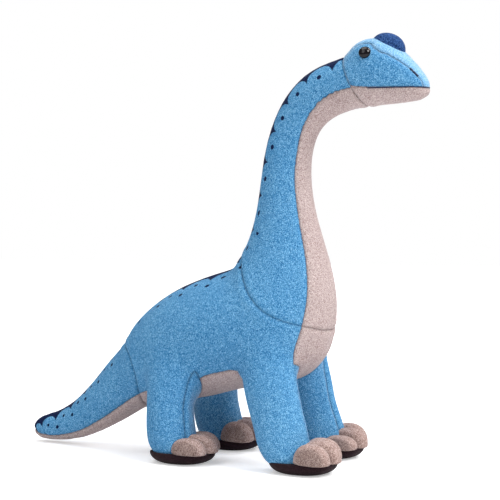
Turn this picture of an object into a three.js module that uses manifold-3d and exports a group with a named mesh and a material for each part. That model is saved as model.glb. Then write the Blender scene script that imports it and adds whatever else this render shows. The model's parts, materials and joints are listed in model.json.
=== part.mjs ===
// A stuffed long-necked dinosaur, sewn from short-pile plush over fibre filling.
// Millimetres, +Z up, nose towards +X. The toy stands on its four soles at Z = 0.
import * as THREE from "three";
import { LoftGeometry } from "three/addons/geometries/LoftGeometry.js";
import { mergeVertices } from "three/addons/utils/BufferGeometryUtils.js";
import Module from "manifold-3d";

const wasm = await Module();
wasm.setup();

// ---- driving sizes ----
const TOY_LENGTH = 457; // tail tip to nose
const TOY_HEIGHT = 414; // floor to the top of the head
const TRUNK_WIDTH = 122; // across the widest part of the belly
const FABRIC = 2.6; // plush cloth with its pile
const SEAM_GAP = 0.6; // left between neighbouring pieces of cloth
const FILL_GAP = 0.4; // left between the filling and the cloth
const LEG_WIDTH = 50; // across the middle of a leg
const LEFT_DRIFT = -16; // how far back the front left foot stands of the front right one
const FOOT_SPREAD = 100; // between the middles of a left and a right sole
const STEP_FRONT = 63; // front soles, forward of the middle of the stance
const STEP_HIND = -69; // hind soles
const SOLE_LENGTH = 64;
const SOLE_WIDTH = 52;
const SOLE_THICKNESS = 8;
const TOE_LENGTH = 40;
const TOE_WIDTH = 21;
const TOE_HEIGHT = 23;
const TOE_PITCH = 16; // between the middles of two toes of a foot
const TOE_OVERHANG = 2; // how far the middle toe reaches past the sole
const TOE_STAGGER = 3; // how far the other toes stand back
const TOE_REST = 0.44; // height of a toe's middle over the sole, as a share of its height
const SOLE_BEVEL = 2.5;
const SOLE_SQUARENESS = 0.75; // 1 is an ellipse, smaller is squarer
const INNER_LEG_TOP = 98; // height of the seam over an inner leg panel
const EYE_DIAMETER = 12;
const EYE_DOME = 4.5; // how far an eye stands out of the cloth
const SHANK_DIAMETER = 3.6;
const SHANK_LENGTH = 9;
const SHANK_CLEARANCE = 0.4; // round a shank, in the cloth and the washer
const SHANK_ROOM = 1; // left in the filling behind the end of a shank
const WASHER_DIAMETER = 11;
const WASHER_THICKNESS = 1.6;
const THREAD = 1.6; // thickness of an embroidered line
const HEAD_BALL_RISE = 25; // from the middle of the head seam to the centre it turns about
const NECK_BALL_RISE = 24;
const TAIL_BALL_RISE = 20;

// ---- facets ----
const ROUND = 16; // sides of a trunk section
const LEG_ROUND = 12;
const TOE_ROUND = 12;
const DOME_ROWS = 3;
const BALL_ROUND = 36; // sides of a ball-shaped seam
const ELLIPSOID_ROWS = 0.7; // rows of an ellipsoid, as a share of its sides
const THREAD_FACETS = 3; // of a quarter of a thread's section
const THREAD_STEPS = 2; // between two points of a thread
const WELD = 1e-4; // points closer than this are one point
const PROBE = 0.4; // half the width of the needle that finds a surface
const STRIP_OVERREACH = 1.18; // height of a strip cutter, as a share of the trunk's
const LEG_OVERREACH = 4; // how far the other cutters reach past the cloth
const BIG = 900; // larger than the toy

// ---- the trunk: points of the back and belly lines and the half width there ----
// x is counted from the middle of the stance. "pale" is the share of the half width
// that the pale underside takes.
const DRAWN_LENGTH = 457; // length, height and width that these points make by themselves
const DRAWN_HEIGHT = 414;
const DRAWN_WIDTH = 122;
const DRAWN_NOSE = 171; // x of the nose
const trunk = [
  { at: "tail tip", back: [-286, 17], belly: [-285, 10], half: 4, pale: 0.72 },
  { at: "tail", back: [-281, 24], belly: [-278, 4.5], half: 9.5, pale: 0.72 },
  { at: "tail", back: [-270, 30], belly: [-266, 2.4], half: 13, pale: 0.72 },
  { at: "tail", back: [-248, 37], belly: [-243, 3], half: 16, pale: 0.72 },
  { at: "tail", back: [-226, 50], belly: [-214, 9], half: 19.5, pale: 0.72 },
  { at: "tail", back: [-204, 70], belly: [-188, 20], half: 24, pale: 0.72 },
  { at: "tail", back: [-184, 92], belly: [-163, 33], half: 28.5, pale: 0.72 },
  { at: "tail seam", back: [-162, 114], belly: [-138, 47], half: 33.5, pale: 0.72 },
  { at: "rump", back: [-147, 135], belly: [-116, 54], half: 43, pale: 0.7 },
  { at: "rump", back: [-123, 155.5], belly: [-98, 56], half: 52, pale: 0.7 },
  { at: "belly", back: [-99, 169.5], belly: [-84, 57], half: 57.5, pale: 0.72 },
  { at: "belly", back: [-74, 179.5], belly: [-62, 61], half: 60.5, pale: 0.74 },
  { at: "belly", back: [-53, 186], belly: [-33, 69], half: 61, pale: 0.74 },
  { at: "belly", back: [-40, 189.5], belly: [5, 76], half: 60.5, pale: 0.74 },
  { at: "chest", back: [-35, 190], belly: [38, 86], half: 59.5, pale: 0.74 },
  { at: "chest", back: [-33, 191], belly: [60, 104], half: 58, pale: 0.74 },
  { at: "neck seam", back: [-32, 192], belly: [68, 130], half: 56, pale: 0.72 },
  { at: "neck", back: [-25, 205], belly: [71, 158], half: 48, pale: 0.72 },
  { at: "neck", back: [-17.5, 221], belly: [67, 188], half: 40, pale: 0.7 },
  { at: "neck", back: [-12, 240], belly: [58.5, 218], half: 33, pale: 0.66 },
  { at: "neck", back: [-8, 262], belly: [50, 248], half: 28, pale: 0.66 },
  { at: "neck", back: [-5, 285], belly: [45.5, 279], half: 25.5, pale: 0.66 },
  { at: "neck", back: [-1.5, 307], belly: [47, 305], half: 23.5, pale: 0.66 },
  { at: "neck", back: [5, 330], belly: [53, 322], half: 23, pale: 0.72 },
  { at: "neck", back: [14, 350], belly: [61, 332], half: 23, pale: 0.79 },
  { at: "throat", back: [27, 368], belly: [70, 338], half: 23.5, pale: 0.85 },
  { at: "throat", back: [44, 382], belly: [80, 342], half: 24, pale: 0.9 },
  { at: "throat", back: [64, 391], belly: [93, 345.5], half: 24.5, pale: 0.93 },
  { at: "head seam", back: [85, 397], belly: [108, 347.5], half: 25.5, pale: 0.94 },
  { at: "head", back: [97, 409.5], belly: [119, 348], half: 27, pale: 0.8 },
  { at: "head", back: [112, 414], belly: [130, 348.5], half: 27, pale: 0.9 },
  { at: "brow", back: [128, 412], belly: [141, 349], half: 24.5, pale: 0.9 },
  { at: "brow", back: [142, 402], belly: [151, 350], half: 21.5, pale: 0.9 },
  { at: "snout", back: [153, 391], belly: [159, 351], half: 18.5, pale: 0.9 },
  { at: "snout", back: [162, 380], belly: [165, 352.5], half: 15.5, pale: 0.9 },
  { at: "snout", back: [168, 372], belly: [169, 355], half: 11, pale: 0.9 },
  { at: "nose", back: [171, 366], belly: [171, 360], half: 5, pale: 0.9 },
];

const TAIL_SEAM = trunk.findIndex((station) => station.at === "tail seam");
const NECK_SEAM = trunk.findIndex((station) => station.at === "neck seam");
const HEAD_SEAM = trunk.findIndex((station) => station.at === "head seam");
const NOSE = trunk.length - 1;

// ---- the legs: middle of a leg at each height, and its half length and half width ----
const DRAWN_LEG = 50; // width and foot spread that these points make by themselves
const DRAWN_SPREAD = 100;
const frontLeg = [
  { x: 18, y: 38, z: 108, long: 27.5, wide: 22 },
  { x: 25, y: 44, z: 80, long: 27.5, wide: 24 },
  { x: 31, y: 46, z: 59, long: 26.5, wide: 24.5 },
  { x: 38, y: 48, z: 40, long: 26, wide: 25 },
  { x: 43, y: 50, z: 22, long: 25, wide: 25 },
  { x: 46, y: 50, z: 4, long: 23.5, wide: 24.5 },
];
const hindLeg = [
  { x: -86, y: 37, z: 108, long: 31, wide: 20 },
  { x: -85, y: 43, z: 78, long: 27, wide: 23.5 },
  { x: -86, y: 46, z: 55, long: 23.5, wide: 24 },
  { x: -84, y: 48, z: 35, long: 24.5, wide: 25 },
  { x: -81, y: 50, z: 20, long: 25, wide: 25 },
  { x: -80, y: 50, z: 4, long: 24, wide: 24.5 },
];

// ---- head details, on the drawn head ----
const EYE_AT = [114, 397]; // middle of an eye, seen from the side
const EYE_UP = 0.5; // how far its face looks up, and forward, in radians
const EYE_FORWARD = 0.15;
const EYE_SINK = 1; // how far the rim of an eye sits in the cloth
const MOUTH_XS = [118, 126, 134, 142, 150, 157, 163, 168];
const MOUTH_Z = 363.5;
const NOSTRIL_AT = [160, 375];
const NOSTRIL_SLANT = [2, -2.6]; // from its middle to its lower end
// Edge of the pale jaw.
const CHIN_LINE = [[92, 368], [104, 365.5], [118, 364], [150, 363.5], [176, 363]];
// Share of the half width of the head that its top gusset takes, from the head seam on.
const GUSSET_SHARES = [0.45, 0.5, 0.6, 0.8, 0.82, 0.76, 0.7, 0.66, 0.66];
const CREST_AT = [130, 403.5];
const CREST_LENGTH = 35;
const CREST_WIDTH = 26;
const CREST_HEIGHT = 25.6;
const CREST_TILT = 0.5;

const stretch = new THREE.Vector3(
  TOY_LENGTH / DRAWN_LENGTH,
  TRUNK_WIDTH / DRAWN_WIDTH,
  TOY_HEIGHT / DRAWN_HEIGHT,
);
const toyMiddle = DRAWN_NOSE * stretch.x - TOY_LENGTH / 2;

// A drawn mid-plane point [x, z] as a point of the toy.
function place([x, z], y = 0) {
  return new THREE.Vector3(x * stretch.x, y, z * stretch.z);
}

// ---- solids ----
function toSolid(geometry) {
  const plain = new THREE.BufferGeometry();
  plain.setAttribute("position", geometry.getAttribute("position"));
  plain.setIndex(geometry.index);
  const merged = mergeVertices(plain, WELD);
  return new wasm.Manifold(
    new wasm.Mesh({
      numProp: 3,
      vertProperties: merged.attributes.position.array,
      triVerts: new Uint32Array(merged.index.array),
    }),
  );
}

function loft(sections) {
  return toSolid(new LoftGeometry(sections, { closed: true, capStart: true, capEnd: true }));
}

const corner = new THREE.Vector3(BIG, BIG, BIG);
const farCorner = new THREE.Vector3(-BIG, -BIG, -BIG);

function box(from, to) {
  const size = new THREE.Vector3().subVectors(to, from);
  const shape = new THREE.BoxGeometry(size.x, size.y, size.z);
  const middle = new THREE.Vector3().addVectors(from, to).multiplyScalar(0.5);
  shape.translate(middle.x, middle.y, middle.z);
  return toSolid(shape);
}

// Everything over a height.
function over(height) {
  return box(farCorner.clone().setZ(height), corner);
}

// An ellipsoid with its poles left and right.
function ellipsoid(centre, halfLength, halfWidth, halfHeight, round) {
  const shape = new THREE.SphereGeometry(1, round, Math.round(round * ELLIPSOID_ROWS));
  shape.rotateX(Math.PI / 2);
  shape.scale(halfLength, halfWidth, halfHeight);
  shape.translate(centre.x, centre.y, centre.z);
  return toSolid(shape);
}

// Trunk sections from one station to another, shrunk by an inset.
function trunkSections(from, to, inset) {
  return trunk.slice(from, to + 1).map((station) => {
    const back = place(station.back);
    const belly = place(station.belly);
    const centre = back.clone().add(belly).multiplyScalar(0.5);
    const up = back.clone().sub(belly).multiplyScalar(0.5);
    up.setLength(up.length() - inset);
    const wide = station.half * stretch.y - inset;
    return Array.from({ length: ROUND }, (_, i) => {
      const turn = (i / ROUND) * 2 * Math.PI;
      return centre
        .clone()
        .addScaledVector(up, Math.sin(turn))
        .add(new THREE.Vector3(0, wide * Math.cos(turn), 0));
    });
  });
}

// Rings of a leg from its lowest row up. "shape" turns a row into its outline.
function legRings({ rows, side, drift }, shape) {
  const top = rows[0].z;
  return [...rows].reverse().map((row) => {
    const centre = place([row.x, row.z], (side * row.y * FOOT_SPREAD) / DRAWN_SPREAD);
    centre.x += drift * (1 - row.z / top);
    const scale = LEG_WIDTH / DRAWN_LEG;
    return shape(row.long * scale, row.wide * scale).map(([x, y]) =>
      centre.clone().add(new THREE.Vector3(x, y, 0)),
    );
  });
}

function legSolid(leg, inset) {
  return loft(
    legRings(leg, (long, wide) =>
      Array.from({ length: LEG_ROUND }, (_, i) => {
        const turn = (i / LEG_ROUND) * 2 * Math.PI;
        return [(long - inset) * Math.cos(turn), (wide - inset) * Math.sin(turn)];
      }),
    ),
  );
}

// The half of a leg that faces the other leg, as a cutter.
function innerHalf(leg, grow) {
  const side = leg.side;
  return loft(
    legRings(leg, (long, wide) => {
      const x = long + LEG_OVERREACH + grow;
      const inward = -side * (wide + LEG_OVERREACH + grow);
      const seam = side * grow;
      const [low, high] = [Math.min(inward, seam), Math.max(inward, seam)];
      return [[x, low], [x, high], [-x, high], [-x, low]];
    }),
  ).subtract(over(INNER_LEG_TOP + grow));
}

// A cutter along the trunk, from its middle out past the cloth: below for the pale
// underside, above for the top of the head.
function strip(from, to, below, share, grow) {
  const sections = trunk.slice(from, to + 1).map((station) => {
    const back = place(station.back);
    const belly = place(station.belly);
    const centre = back.clone().add(belly).multiplyScalar(0.5);
    const reach = back.clone().sub(belly).multiplyScalar(STRIP_OVERREACH / 2);
    const wide = share(station) * station.half * stretch.y + grow;
    const outer = centre.clone().addScaledVector(reach, below ? -1 : 1);
    const [low, high] = below ? [outer, centre] : [centre, outer];
    const left = new THREE.Vector3(0, wide, 0);
    return [
      low.clone().add(left),
      high.clone().add(left),
      high.clone().sub(left),
      low.clone().sub(left),
    ];
  });
  const moved = (section, x) => section.map((point) => point.clone().setX(point.x + x));
  const past = LEG_OVERREACH + grow;
  return loft([moved(sections[0], -past), ...sections, moved(sections.at(-1), past)]);
}

// Everything across a ball-shaped seam, on the side of the moving part. The ball stands
// about the centre the part turns about, and passes through the seam ring.
function seamRing(index, rise, towards) {
  const back = place(trunk[index].back);
  const belly = place(trunk[index].belly);
  const middle = back.clone().add(belly).multiplyScalar(0.5);
  const along = back.clone().sub(belly);
  const normal = new THREE.Vector3(-along.z, 0, along.x).normalize();
  normal.multiplyScalar(-towards);
  const radius = Math.hypot(along.length() / 2, rise);
  return { centre: middle.addScaledVector(normal, rise), normal, radius };
}

function beyond(seam, grow) {
  const shape = new THREE.BoxGeometry(BIG, BIG, BIG);
  shape.translate(0, 0, BIG / 2);
  shape.applyQuaternion(
    new THREE.Quaternion().setFromUnitVectors(new THREE.Vector3(0, 0, 1), seam.normal),
  );
  shape.translate(seam.centre.x, seam.centre.y, seam.centre.z);
  const radius = seam.radius + grow;
  return toSolid(shape).add(ellipsoid(seam.centre, radius, radius, radius, BALL_ROUND));
}

// The biggest body of a solid: crumbs left at the edge of a cut are dropped.
function main(solid) {
  return solid.decompose().reduce((a, b) => (a.volume() > b.volume() ? a : b));
}

function leftHalf(solid) {
  return solid.intersect(box(farCorner.clone().setY(SEAM_GAP / 2), corner));
}

function rightHalf(solid) {
  return solid.intersect(box(farCorner, corner.clone().setY(-SEAM_GAP / 2)));
}

// ---- the toy ----
const toy = new THREE.Group();
const cloth = {
  blue: { color: 0x5794c1, roughness: 0.95 },
  pale: { color: 0xd0bdb6, roughness: 0.95 },
  navy: { color: 0x345b8f, roughness: 0.9 },
  sole: { color: 0x2d1d23, roughness: 0.9 },
  thread: { color: 0x0f1e46, roughness: 0.8 },
  fill: { color: 0xf4f4f0, roughness: 1 },
  eye: { color: 0x101012, roughness: 0.15 },
  washer: { color: 0xe6e6e2, roughness: 0.5 },
};

function add(name, solid, look) {
  const kept = main(solid).getMesh();
  const shape = new THREE.BufferGeometry();
  shape.setAttribute("position", new THREE.BufferAttribute(kept.vertProperties, 3));
  shape.setIndex(new THREE.BufferAttribute(kept.triVerts, 1));
  const mesh = new THREE.Mesh(shape, new THREE.MeshStandardMaterial({ ...look, metalness: 0 }));
  mesh.name = name;
  toy.add(mesh);
}

const leftStep = STEP_FRONT + LEFT_DRIFT;
const legs = [
  { name: "front_left", rows: frontLeg, side: 1, step: leftStep, drift: LEFT_DRIFT / 2 },
  { name: "front_right", rows: frontLeg, side: -1, step: STEP_FRONT, drift: 0 },
  { name: "hind_left", rows: hindLeg, side: 1, step: STEP_HIND, drift: 0 },
  { name: "hind_right", rows: hindLeg, side: -1, step: STEP_HIND, drift: 0 },
];

// The trunk from the tail tip to the nose, shrunk by an inset.
function trunkSolid(inset) {
  const short = inset > 0 ? 1 : 0;
  return loft(trunkSections(short, NOSE - short, inset));
}

const soleTop = SOLE_THICKNESS + SEAM_GAP;
const standing = over(soleTop);
const fillInset = FABRIC + FILL_GAP;
let outside = trunkSolid(0);
let hollow = trunkSolid(FABRIC);
for (const leg of legs) {
  outside = outside.add(legSolid(leg, 0).intersect(standing));
  hollow = hollow.add(legSolid(leg, FABRIC));
}
const skin = outside.subtract(hollow);
const filling = trunkSolid(fillInset);

const tailSeam = seamRing(TAIL_SEAM, TAIL_BALL_RISE, -1);
const neckSeam = seamRing(NECK_SEAM, NECK_BALL_RISE, 1);
const headSeam = seamRing(HEAD_SEAM, HEAD_BALL_RISE, 1);

// Splits a solid into its tail, trunk, neck and head.
function sections(solid, gap) {
  const far = gap / 2;
  const past = (seam) => beyond(seam, -far);
  const upTo = (seam) => beyond(seam, far);
  const neckAndHead = solid.intersect(past(neckSeam));
  const rest = solid.subtract(upTo(neckSeam));
  return {
    tail: rest.intersect(past(tailSeam)),
    trunk: rest.subtract(upTo(tailSeam)),
    neck: neckAndHead.subtract(upTo(headSeam)),
    head: neckAndHead.intersect(past(headSeam)),
  };
}

const skins = sections(skin, SEAM_GAP);
const fillings = sections(filling, 2 * FILL_GAP);

const underside = (station) => station.pale;
const endToEnd = [0, NOSE];

// Splits a solid by a cutter: the part inside it and the part outside its grown form.
function split(solid, cutter) {
  return [solid.intersect(cutter(0)), solid.subtract(cutter(SEAM_GAP))];
}

const paleStrip = (grow) => strip(...endToEnd, true, underside, grow);

const [neckFront, neckSides] = split(skins.neck, paleStrip);
add("neck_front", neckFront, cloth.pale);
add("neck_side_left", leftHalf(neckSides), cloth.blue);
add("neck_side_right", rightHalf(neckSides), cloth.blue);

const [tailUnder, tailSides] = split(skins.tail, paleStrip);
add("tail_underside", tailUnder, cloth.pale);
add("tail_side_left", leftHalf(tailSides), cloth.blue);
add("tail_side_right", rightHalf(tailSides), cloth.blue);

let body = skins.trunk;
for (const leg of legs) {
  const [inner, rest] = split(body, (grow) => innerHalf(leg, grow));
  add("inner_leg_" + leg.name, inner, cloth.blue);
  body = rest;
}
const outerLegs = (grow) =>
  legs.map((leg) => legSolid(leg, -grow)).reduce((a, b) => a.add(b));
const bellyStrip = (grow) => paleStrip(grow).subtract(outerLegs(LEG_OVERREACH - grow));
const [gusset, sides] = split(body, bellyStrip);
add("belly_gusset", gusset, cloth.pale);
add("body_side_left", leftHalf(sides), cloth.blue);
add("body_side_right", rightHalf(sides), cloth.blue);
add("fill_tail", fillings.tail, cloth.fill);
add("fill_body", fillings.trunk, cloth.fill);
add("fill_neck", fillings.neck, cloth.fill);
const aroundBody = trunkSolid(fillInset - FILL_GAP);
for (const leg of legs) {
  const wad = legSolid(leg, fillInset).intersect(over(soleTop + FILL_GAP));
  add("fill_leg_" + leg.name, wad.subtract(aroundBody), cloth.fill);
}

// ---- head ----
// A block under a line of mid-plane points, from far left to far right.
function under(line, drop) {
  const points = line.map((point) => place(point));
  const outline = new THREE.Shape();
  outline.moveTo(points[0].x - BIG, points[0].z - drop);
  points.forEach((point) => outline.lineTo(point.x, point.z - drop));
  outline.lineTo(points.at(-1).x + BIG, points.at(-1).z - drop);
  outline.lineTo(points.at(-1).x + BIG, -BIG);
  outline.lineTo(points[0].x - BIG, -BIG);
  const shape = new THREE.ExtrudeGeometry(outline, { depth: BIG, bevelEnabled: false });
  shape.rotateX(Math.PI / 2);
  shape.translate(0, BIG / 2, 0);
  return toSolid(shape);
}

// How far out the head reaches at a mid-plane point.
function sideOf([x, z]) {
  const middle = place([x, z]);
  const probe = new THREE.Vector3(PROBE, BIG, PROBE);
  const needle = box(middle.clone().sub(probe), middle.clone().add(probe));
  return outside.intersect(needle).boundingBox().max[1];
}

const chinBlock = (grow) => under(CHIN_LINE, -grow);
const chin = skins.head.intersect(chinBlock(0));
const upper = skins.head.subtract(chinBlock(SEAM_GAP));
const gussetShare = (station) => GUSSET_SHARES[Math.max(trunk.indexOf(station) - HEAD_SEAM, 0)];
const topStrip = (grow) => strip(HEAD_SEAM - 1, NOSE, false, gussetShare, grow);
const headTop = upper.intersect(topStrip(0));
const headSides = upper.subtract(topStrip(SEAM_GAP));

// The crest: a puffed pad of dark cloth on the forehead.
const crestMiddle = place(CREST_AT);
function crestPad(grow) {
  const shape = new THREE.SphereGeometry(1, ROUND, ROUND / 2);
  shape.rotateX(Math.PI / 2);
  shape.scale(CREST_LENGTH / 2 + grow, CREST_WIDTH / 2 + grow, CREST_HEIGHT / 2 + grow);
  shape.rotateY(CREST_TILT);
  shape.translate(crestMiddle.x, 0, crestMiddle.z);
  return toSolid(shape);
}
const crest = crestPad(0).subtract(loft(trunkSections(HEAD_SEAM, NOSE, -SEAM_GAP)));
add("head_crest", crest, cloth.navy);

// ---- eyes, washers, nostrils and mouth ----
function turned(profile, at, outward) {
  const shape = new THREE.LatheGeometry(
    profile.map(([r, h]) => new THREE.Vector2(r, h)),
    ROUND,
  );
  shape.applyQuaternion(new THREE.Quaternion().setFromUnitVectors(new THREE.Vector3(0, 1, 0), outward));
  shape.translate(at.x, at.y, at.z);
  return toSolid(shape);
}

function eyeProfile(grow) {
  const r = EYE_DIAMETER / 2 + grow;
  const shank = SHANK_DIAMETER / 2 + grow;
  const dome = Array.from({ length: DOME_ROWS + 1 }, (_, i) => {
    const turn = (i / DOME_ROWS) * (Math.PI / 2);
    return [r * Math.cos(turn), (EYE_DOME + grow) * Math.sin(turn)];
  });
  dome[DOME_ROWS][0] = 0;
  return [[0, -SHANK_LENGTH - grow], [shank, -SHANK_LENGTH - grow], [shank, -EYE_SINK - grow],
    [r, -EYE_SINK - grow], ...dome];
}

function washerProfile(grow) {
  const inner = SHANK_DIAMETER / 2 + SHANK_CLEARANCE - grow;
  const outer = WASHER_DIAMETER / 2 + grow;
  const top = -EYE_SINK - FABRIC - FILL_GAP + grow;
  const low = top - WASHER_THICKNESS - 2 * grow;
  return [[inner, low], [outer, low], [outer, top], [inner, top], [inner, low]];
}

// A thread laid along a line of points: a closed tube.
function thread(points, radius) {
  const dot = new THREE.Shape();
  dot.absarc(0, 0, radius, 0, 2 * Math.PI);
  const path = new THREE.CatmullRomCurve3(points);
  const shape = new THREE.ExtrudeGeometry(dot, {
    extrudePath: path,
    steps: points.length * THREAD_STEPS,
    curveSegments: THREAD_FACETS,
  });
  return toSolid(shape);
}

let headTopLeft = headTop;
let chinLeft = chin;
let sidesLeft = headSides;
let headFill = fillings.head;
const sidesOfHead = [["left", 1], ["right", -1]];

for (const [name, side] of sidesOfHead) {
  const outward = new THREE.Vector3(
    Math.sin(EYE_FORWARD),
    side * Math.cos(EYE_FORWARD) * Math.cos(EYE_UP),
    Math.sin(EYE_UP),
  ).normalize();
  const at = place(EYE_AT, side * sideOf(EYE_AT));
  const eye = turned(eyeProfile(0), at, outward);
  const washer = turned(washerProfile(0), at, outward);
  const room = turned(eyeProfile(SHANK_CLEARANCE), at, outward);
  const washerRoom = turned(
    [[0, -SHANK_LENGTH - SHANK_ROOM], ...washerProfile(FILL_GAP).slice(1, 3), [0, -EYE_SINK - FABRIC]],
    at,
    outward,
  );
  sidesLeft = sidesLeft.subtract(room).subtract(washerRoom);
  headTopLeft = headTopLeft.subtract(room).subtract(washerRoom);
  headFill = headFill.subtract(room).subtract(washerRoom);
  add("eye_" + name, eye, cloth.eye);
  add("eye_washer_" + name, washer, cloth.washer);

  const points = [-1, 0, 1].map((t) => {
    const drawn = [NOSTRIL_AT[0] + t * NOSTRIL_SLANT[0], NOSTRIL_AT[1] + t * NOSTRIL_SLANT[1]];
    return place(drawn, side * sideOf(drawn));
  });
  add("nostril_" + name, thread(points, THREAD / 2), cloth.thread);
  const nostrilRoom = thread(points, THREAD / 2 + FILL_GAP);
  sidesLeft = sidesLeft.subtract(nostrilRoom);
  headTopLeft = headTopLeft.subtract(nostrilRoom);
}

const lip = MOUTH_XS.map((x) => [x, MOUTH_Z]);
const mouthPoints = [
  ...lip.map((point) => place(point, sideOf(point))),
  place([DRAWN_NOSE, MOUTH_Z]),
  ...[...lip].reverse().map((point) => place(point, -sideOf(point))),
];
const mouthRoom = thread(mouthPoints, THREAD / 2 + FILL_GAP);
add("mouth_line", thread(mouthPoints, THREAD / 2), cloth.thread);
add("chin", chinLeft.subtract(mouthRoom), cloth.pale);
add("head_top", headTopLeft.subtract(mouthRoom), cloth.blue);
sidesLeft = sidesLeft.subtract(mouthRoom);
add("head_side_left", leftHalf(sidesLeft), cloth.blue);
add("head_side_right", rightHalf(sidesLeft), cloth.blue);
add("fill_head", headFill, cloth.fill);

// ---- feet ----
function soleSolid(x, y) {
  const rows = [
    [0, SOLE_BEVEL],
    [SOLE_BEVEL, 0],
    [SOLE_THICKNESS - SOLE_BEVEL, 0],
    [SOLE_THICKNESS, SOLE_BEVEL],
  ];
  return loft(
    rows.map(([z, inset]) =>
      Array.from({ length: ROUND }, (_, i) => {
        const turn = ((2 * i + 1) / ROUND) * Math.PI;
        const bulge = (v) => Math.sign(v) * Math.abs(v) ** SOLE_SQUARENESS;
        return new THREE.Vector3(
          x + (SOLE_LENGTH / 2 - inset) * bulge(Math.cos(turn)),
          y + (SOLE_WIDTH / 2 - inset) * bulge(Math.sin(turn)),
          z,
        );
      }),
    ),
  );
}

const toeNames = ["inner", "middle", "outer"];
for (const leg of legs) {
  const footY = (leg.side * FOOT_SPREAD) / 2;
  add("sole_" + leg.name, soleSolid(leg.step, footY), cloth.sole);
  const shin = legSolid(leg, -SEAM_GAP);
  toeNames.forEach((toeName, i) => {
    const y = footY + leg.side * (i - 1) * TOE_PITCH;
    const back = TOE_LENGTH / 2 + Math.abs(i - 1) * TOE_STAGGER - TOE_OVERHANG;
    const x = leg.step + SOLE_LENGTH / 2 - back;
    const centre = new THREE.Vector3(x, y, soleTop + TOE_HEIGHT * TOE_REST);
    const lane = (TOE_PITCH - SEAM_GAP) / 2;
    const toe = ellipsoid(centre, TOE_LENGTH / 2, TOE_WIDTH / 2, TOE_HEIGHT / 2, TOE_ROUND);
    const inward = i > 0 ? lane : BIG;
    const outward = i < 2 ? lane : BIG;
    const [left, right] = leg.side > 0 ? [outward, inward] : [inward, outward];
    const from = new THREE.Vector3(-BIG, y - right, soleTop);
    const slot = box(from, new THREE.Vector3(BIG, y + left, BIG));
    add("toe_" + leg.name + "_" + toeName, toe.intersect(slot).subtract(shin), cloth.pale);
  });
}

toy.position.x = -toyMiddle;
export default toy;
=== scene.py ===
import json
import math

import bpy
import numpy as np
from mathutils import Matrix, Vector
from mathutils.bvhtree import BVHTree
from mathutils.kdtree import KDTree


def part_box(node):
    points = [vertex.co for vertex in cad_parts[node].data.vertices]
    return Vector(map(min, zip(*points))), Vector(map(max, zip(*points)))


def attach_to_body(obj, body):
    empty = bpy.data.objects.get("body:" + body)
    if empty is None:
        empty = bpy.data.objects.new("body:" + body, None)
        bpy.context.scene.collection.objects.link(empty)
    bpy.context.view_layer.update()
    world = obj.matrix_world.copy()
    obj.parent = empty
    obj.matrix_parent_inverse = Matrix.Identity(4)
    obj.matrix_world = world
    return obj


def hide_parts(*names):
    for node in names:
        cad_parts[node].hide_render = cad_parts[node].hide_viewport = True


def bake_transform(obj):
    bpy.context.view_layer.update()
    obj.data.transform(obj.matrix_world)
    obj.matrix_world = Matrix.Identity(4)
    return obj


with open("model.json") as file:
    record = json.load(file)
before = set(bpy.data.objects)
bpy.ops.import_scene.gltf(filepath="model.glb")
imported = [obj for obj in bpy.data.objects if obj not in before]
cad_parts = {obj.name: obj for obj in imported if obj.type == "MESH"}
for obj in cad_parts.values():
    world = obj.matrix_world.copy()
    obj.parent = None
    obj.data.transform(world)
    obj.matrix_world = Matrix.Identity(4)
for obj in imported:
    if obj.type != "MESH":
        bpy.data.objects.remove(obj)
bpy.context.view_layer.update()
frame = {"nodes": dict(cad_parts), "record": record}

print("frame loaded:", len(frame["nodes"]), "nodes")

mm = 0.001
standShift = 57.5  # from the middle of the stance to the middle of the toy, mm


def onFrame(x, y, z):
    # a point drawn about the middle of the stance, in mm, as a point of the frame
    return np.array([(x + standShift) * mm, y * mm, z * mm])


def addObject(name, data):
    made = bpy.data.objects.new(name, data)
    bpy.context.collection.objects.link(made)
    return made


def addMesh(name, points, faces, smooth=True):
    mesh = bpy.data.meshes.new(name)
    mesh.from_pydata(points, [], faces)
    mesh.polygons.foreach_set("use_smooth", np.full(len(faces), smooth))
    return addObject(name, mesh)


def fullTurn(count):
    return np.linspace(0, 2 * math.pi, count, endpoint=False)


def bell(distance, width):
    # 1 at no distance, falling away over the width
    return np.exp(-(distance / width) ** 2)


def readOff(table, at):
    # a value between the rows of a two-column table
    return np.interp(at, table[:, 0], table[:, 1])


# camera

camera = {  # mm for the lens and the sensor, metres, degrees
    "lens": 104.26,
    "distance": 1.440,
    "height": 0.238,
    "azimuth": 27.0,
    "panLeft": 0.71,
    "tiltDown": 1.13,
    "sensor": 36,
    "farthest": 50,
}


def makeCamera():
    turn = math.radians(camera["azimuth"])
    back = Vector((math.sin(turn), -math.cos(turn), 0))
    right = Vector((math.cos(turn), math.sin(turn), 0))
    pan = math.radians(camera["panLeft"])
    tilt = math.radians(camera["tiltDown"])
    look = -back * math.cos(pan) - right * math.sin(pan) - Vector((0, 0, math.tan(tilt)))
    data = bpy.data.cameras.new("camera")
    data.lens = camera["lens"]
    data.sensor_width = camera["sensor"]
    data.clip_end = camera["farthest"]
    lens = addObject("camera", data)
    lens.location = back * camera["distance"] + Vector((standShift * mm, 0, camera["height"]))
    lens.rotation_euler = look.to_track_quat("-Z", "Y").to_euler()
    bpy.context.scene.camera = lens


makeCamera()


# shader maths

def linear(r, g, b):
    # 0 to 255 screen colour as linear light
    done = []
    for c in (r / 255, g / 255, b / 255):
        done.append(c / 12.92 if c <= 0.04045 else ((c + 0.055) / 1.055) ** 2.4)
    return (*done, 1.0)


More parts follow.
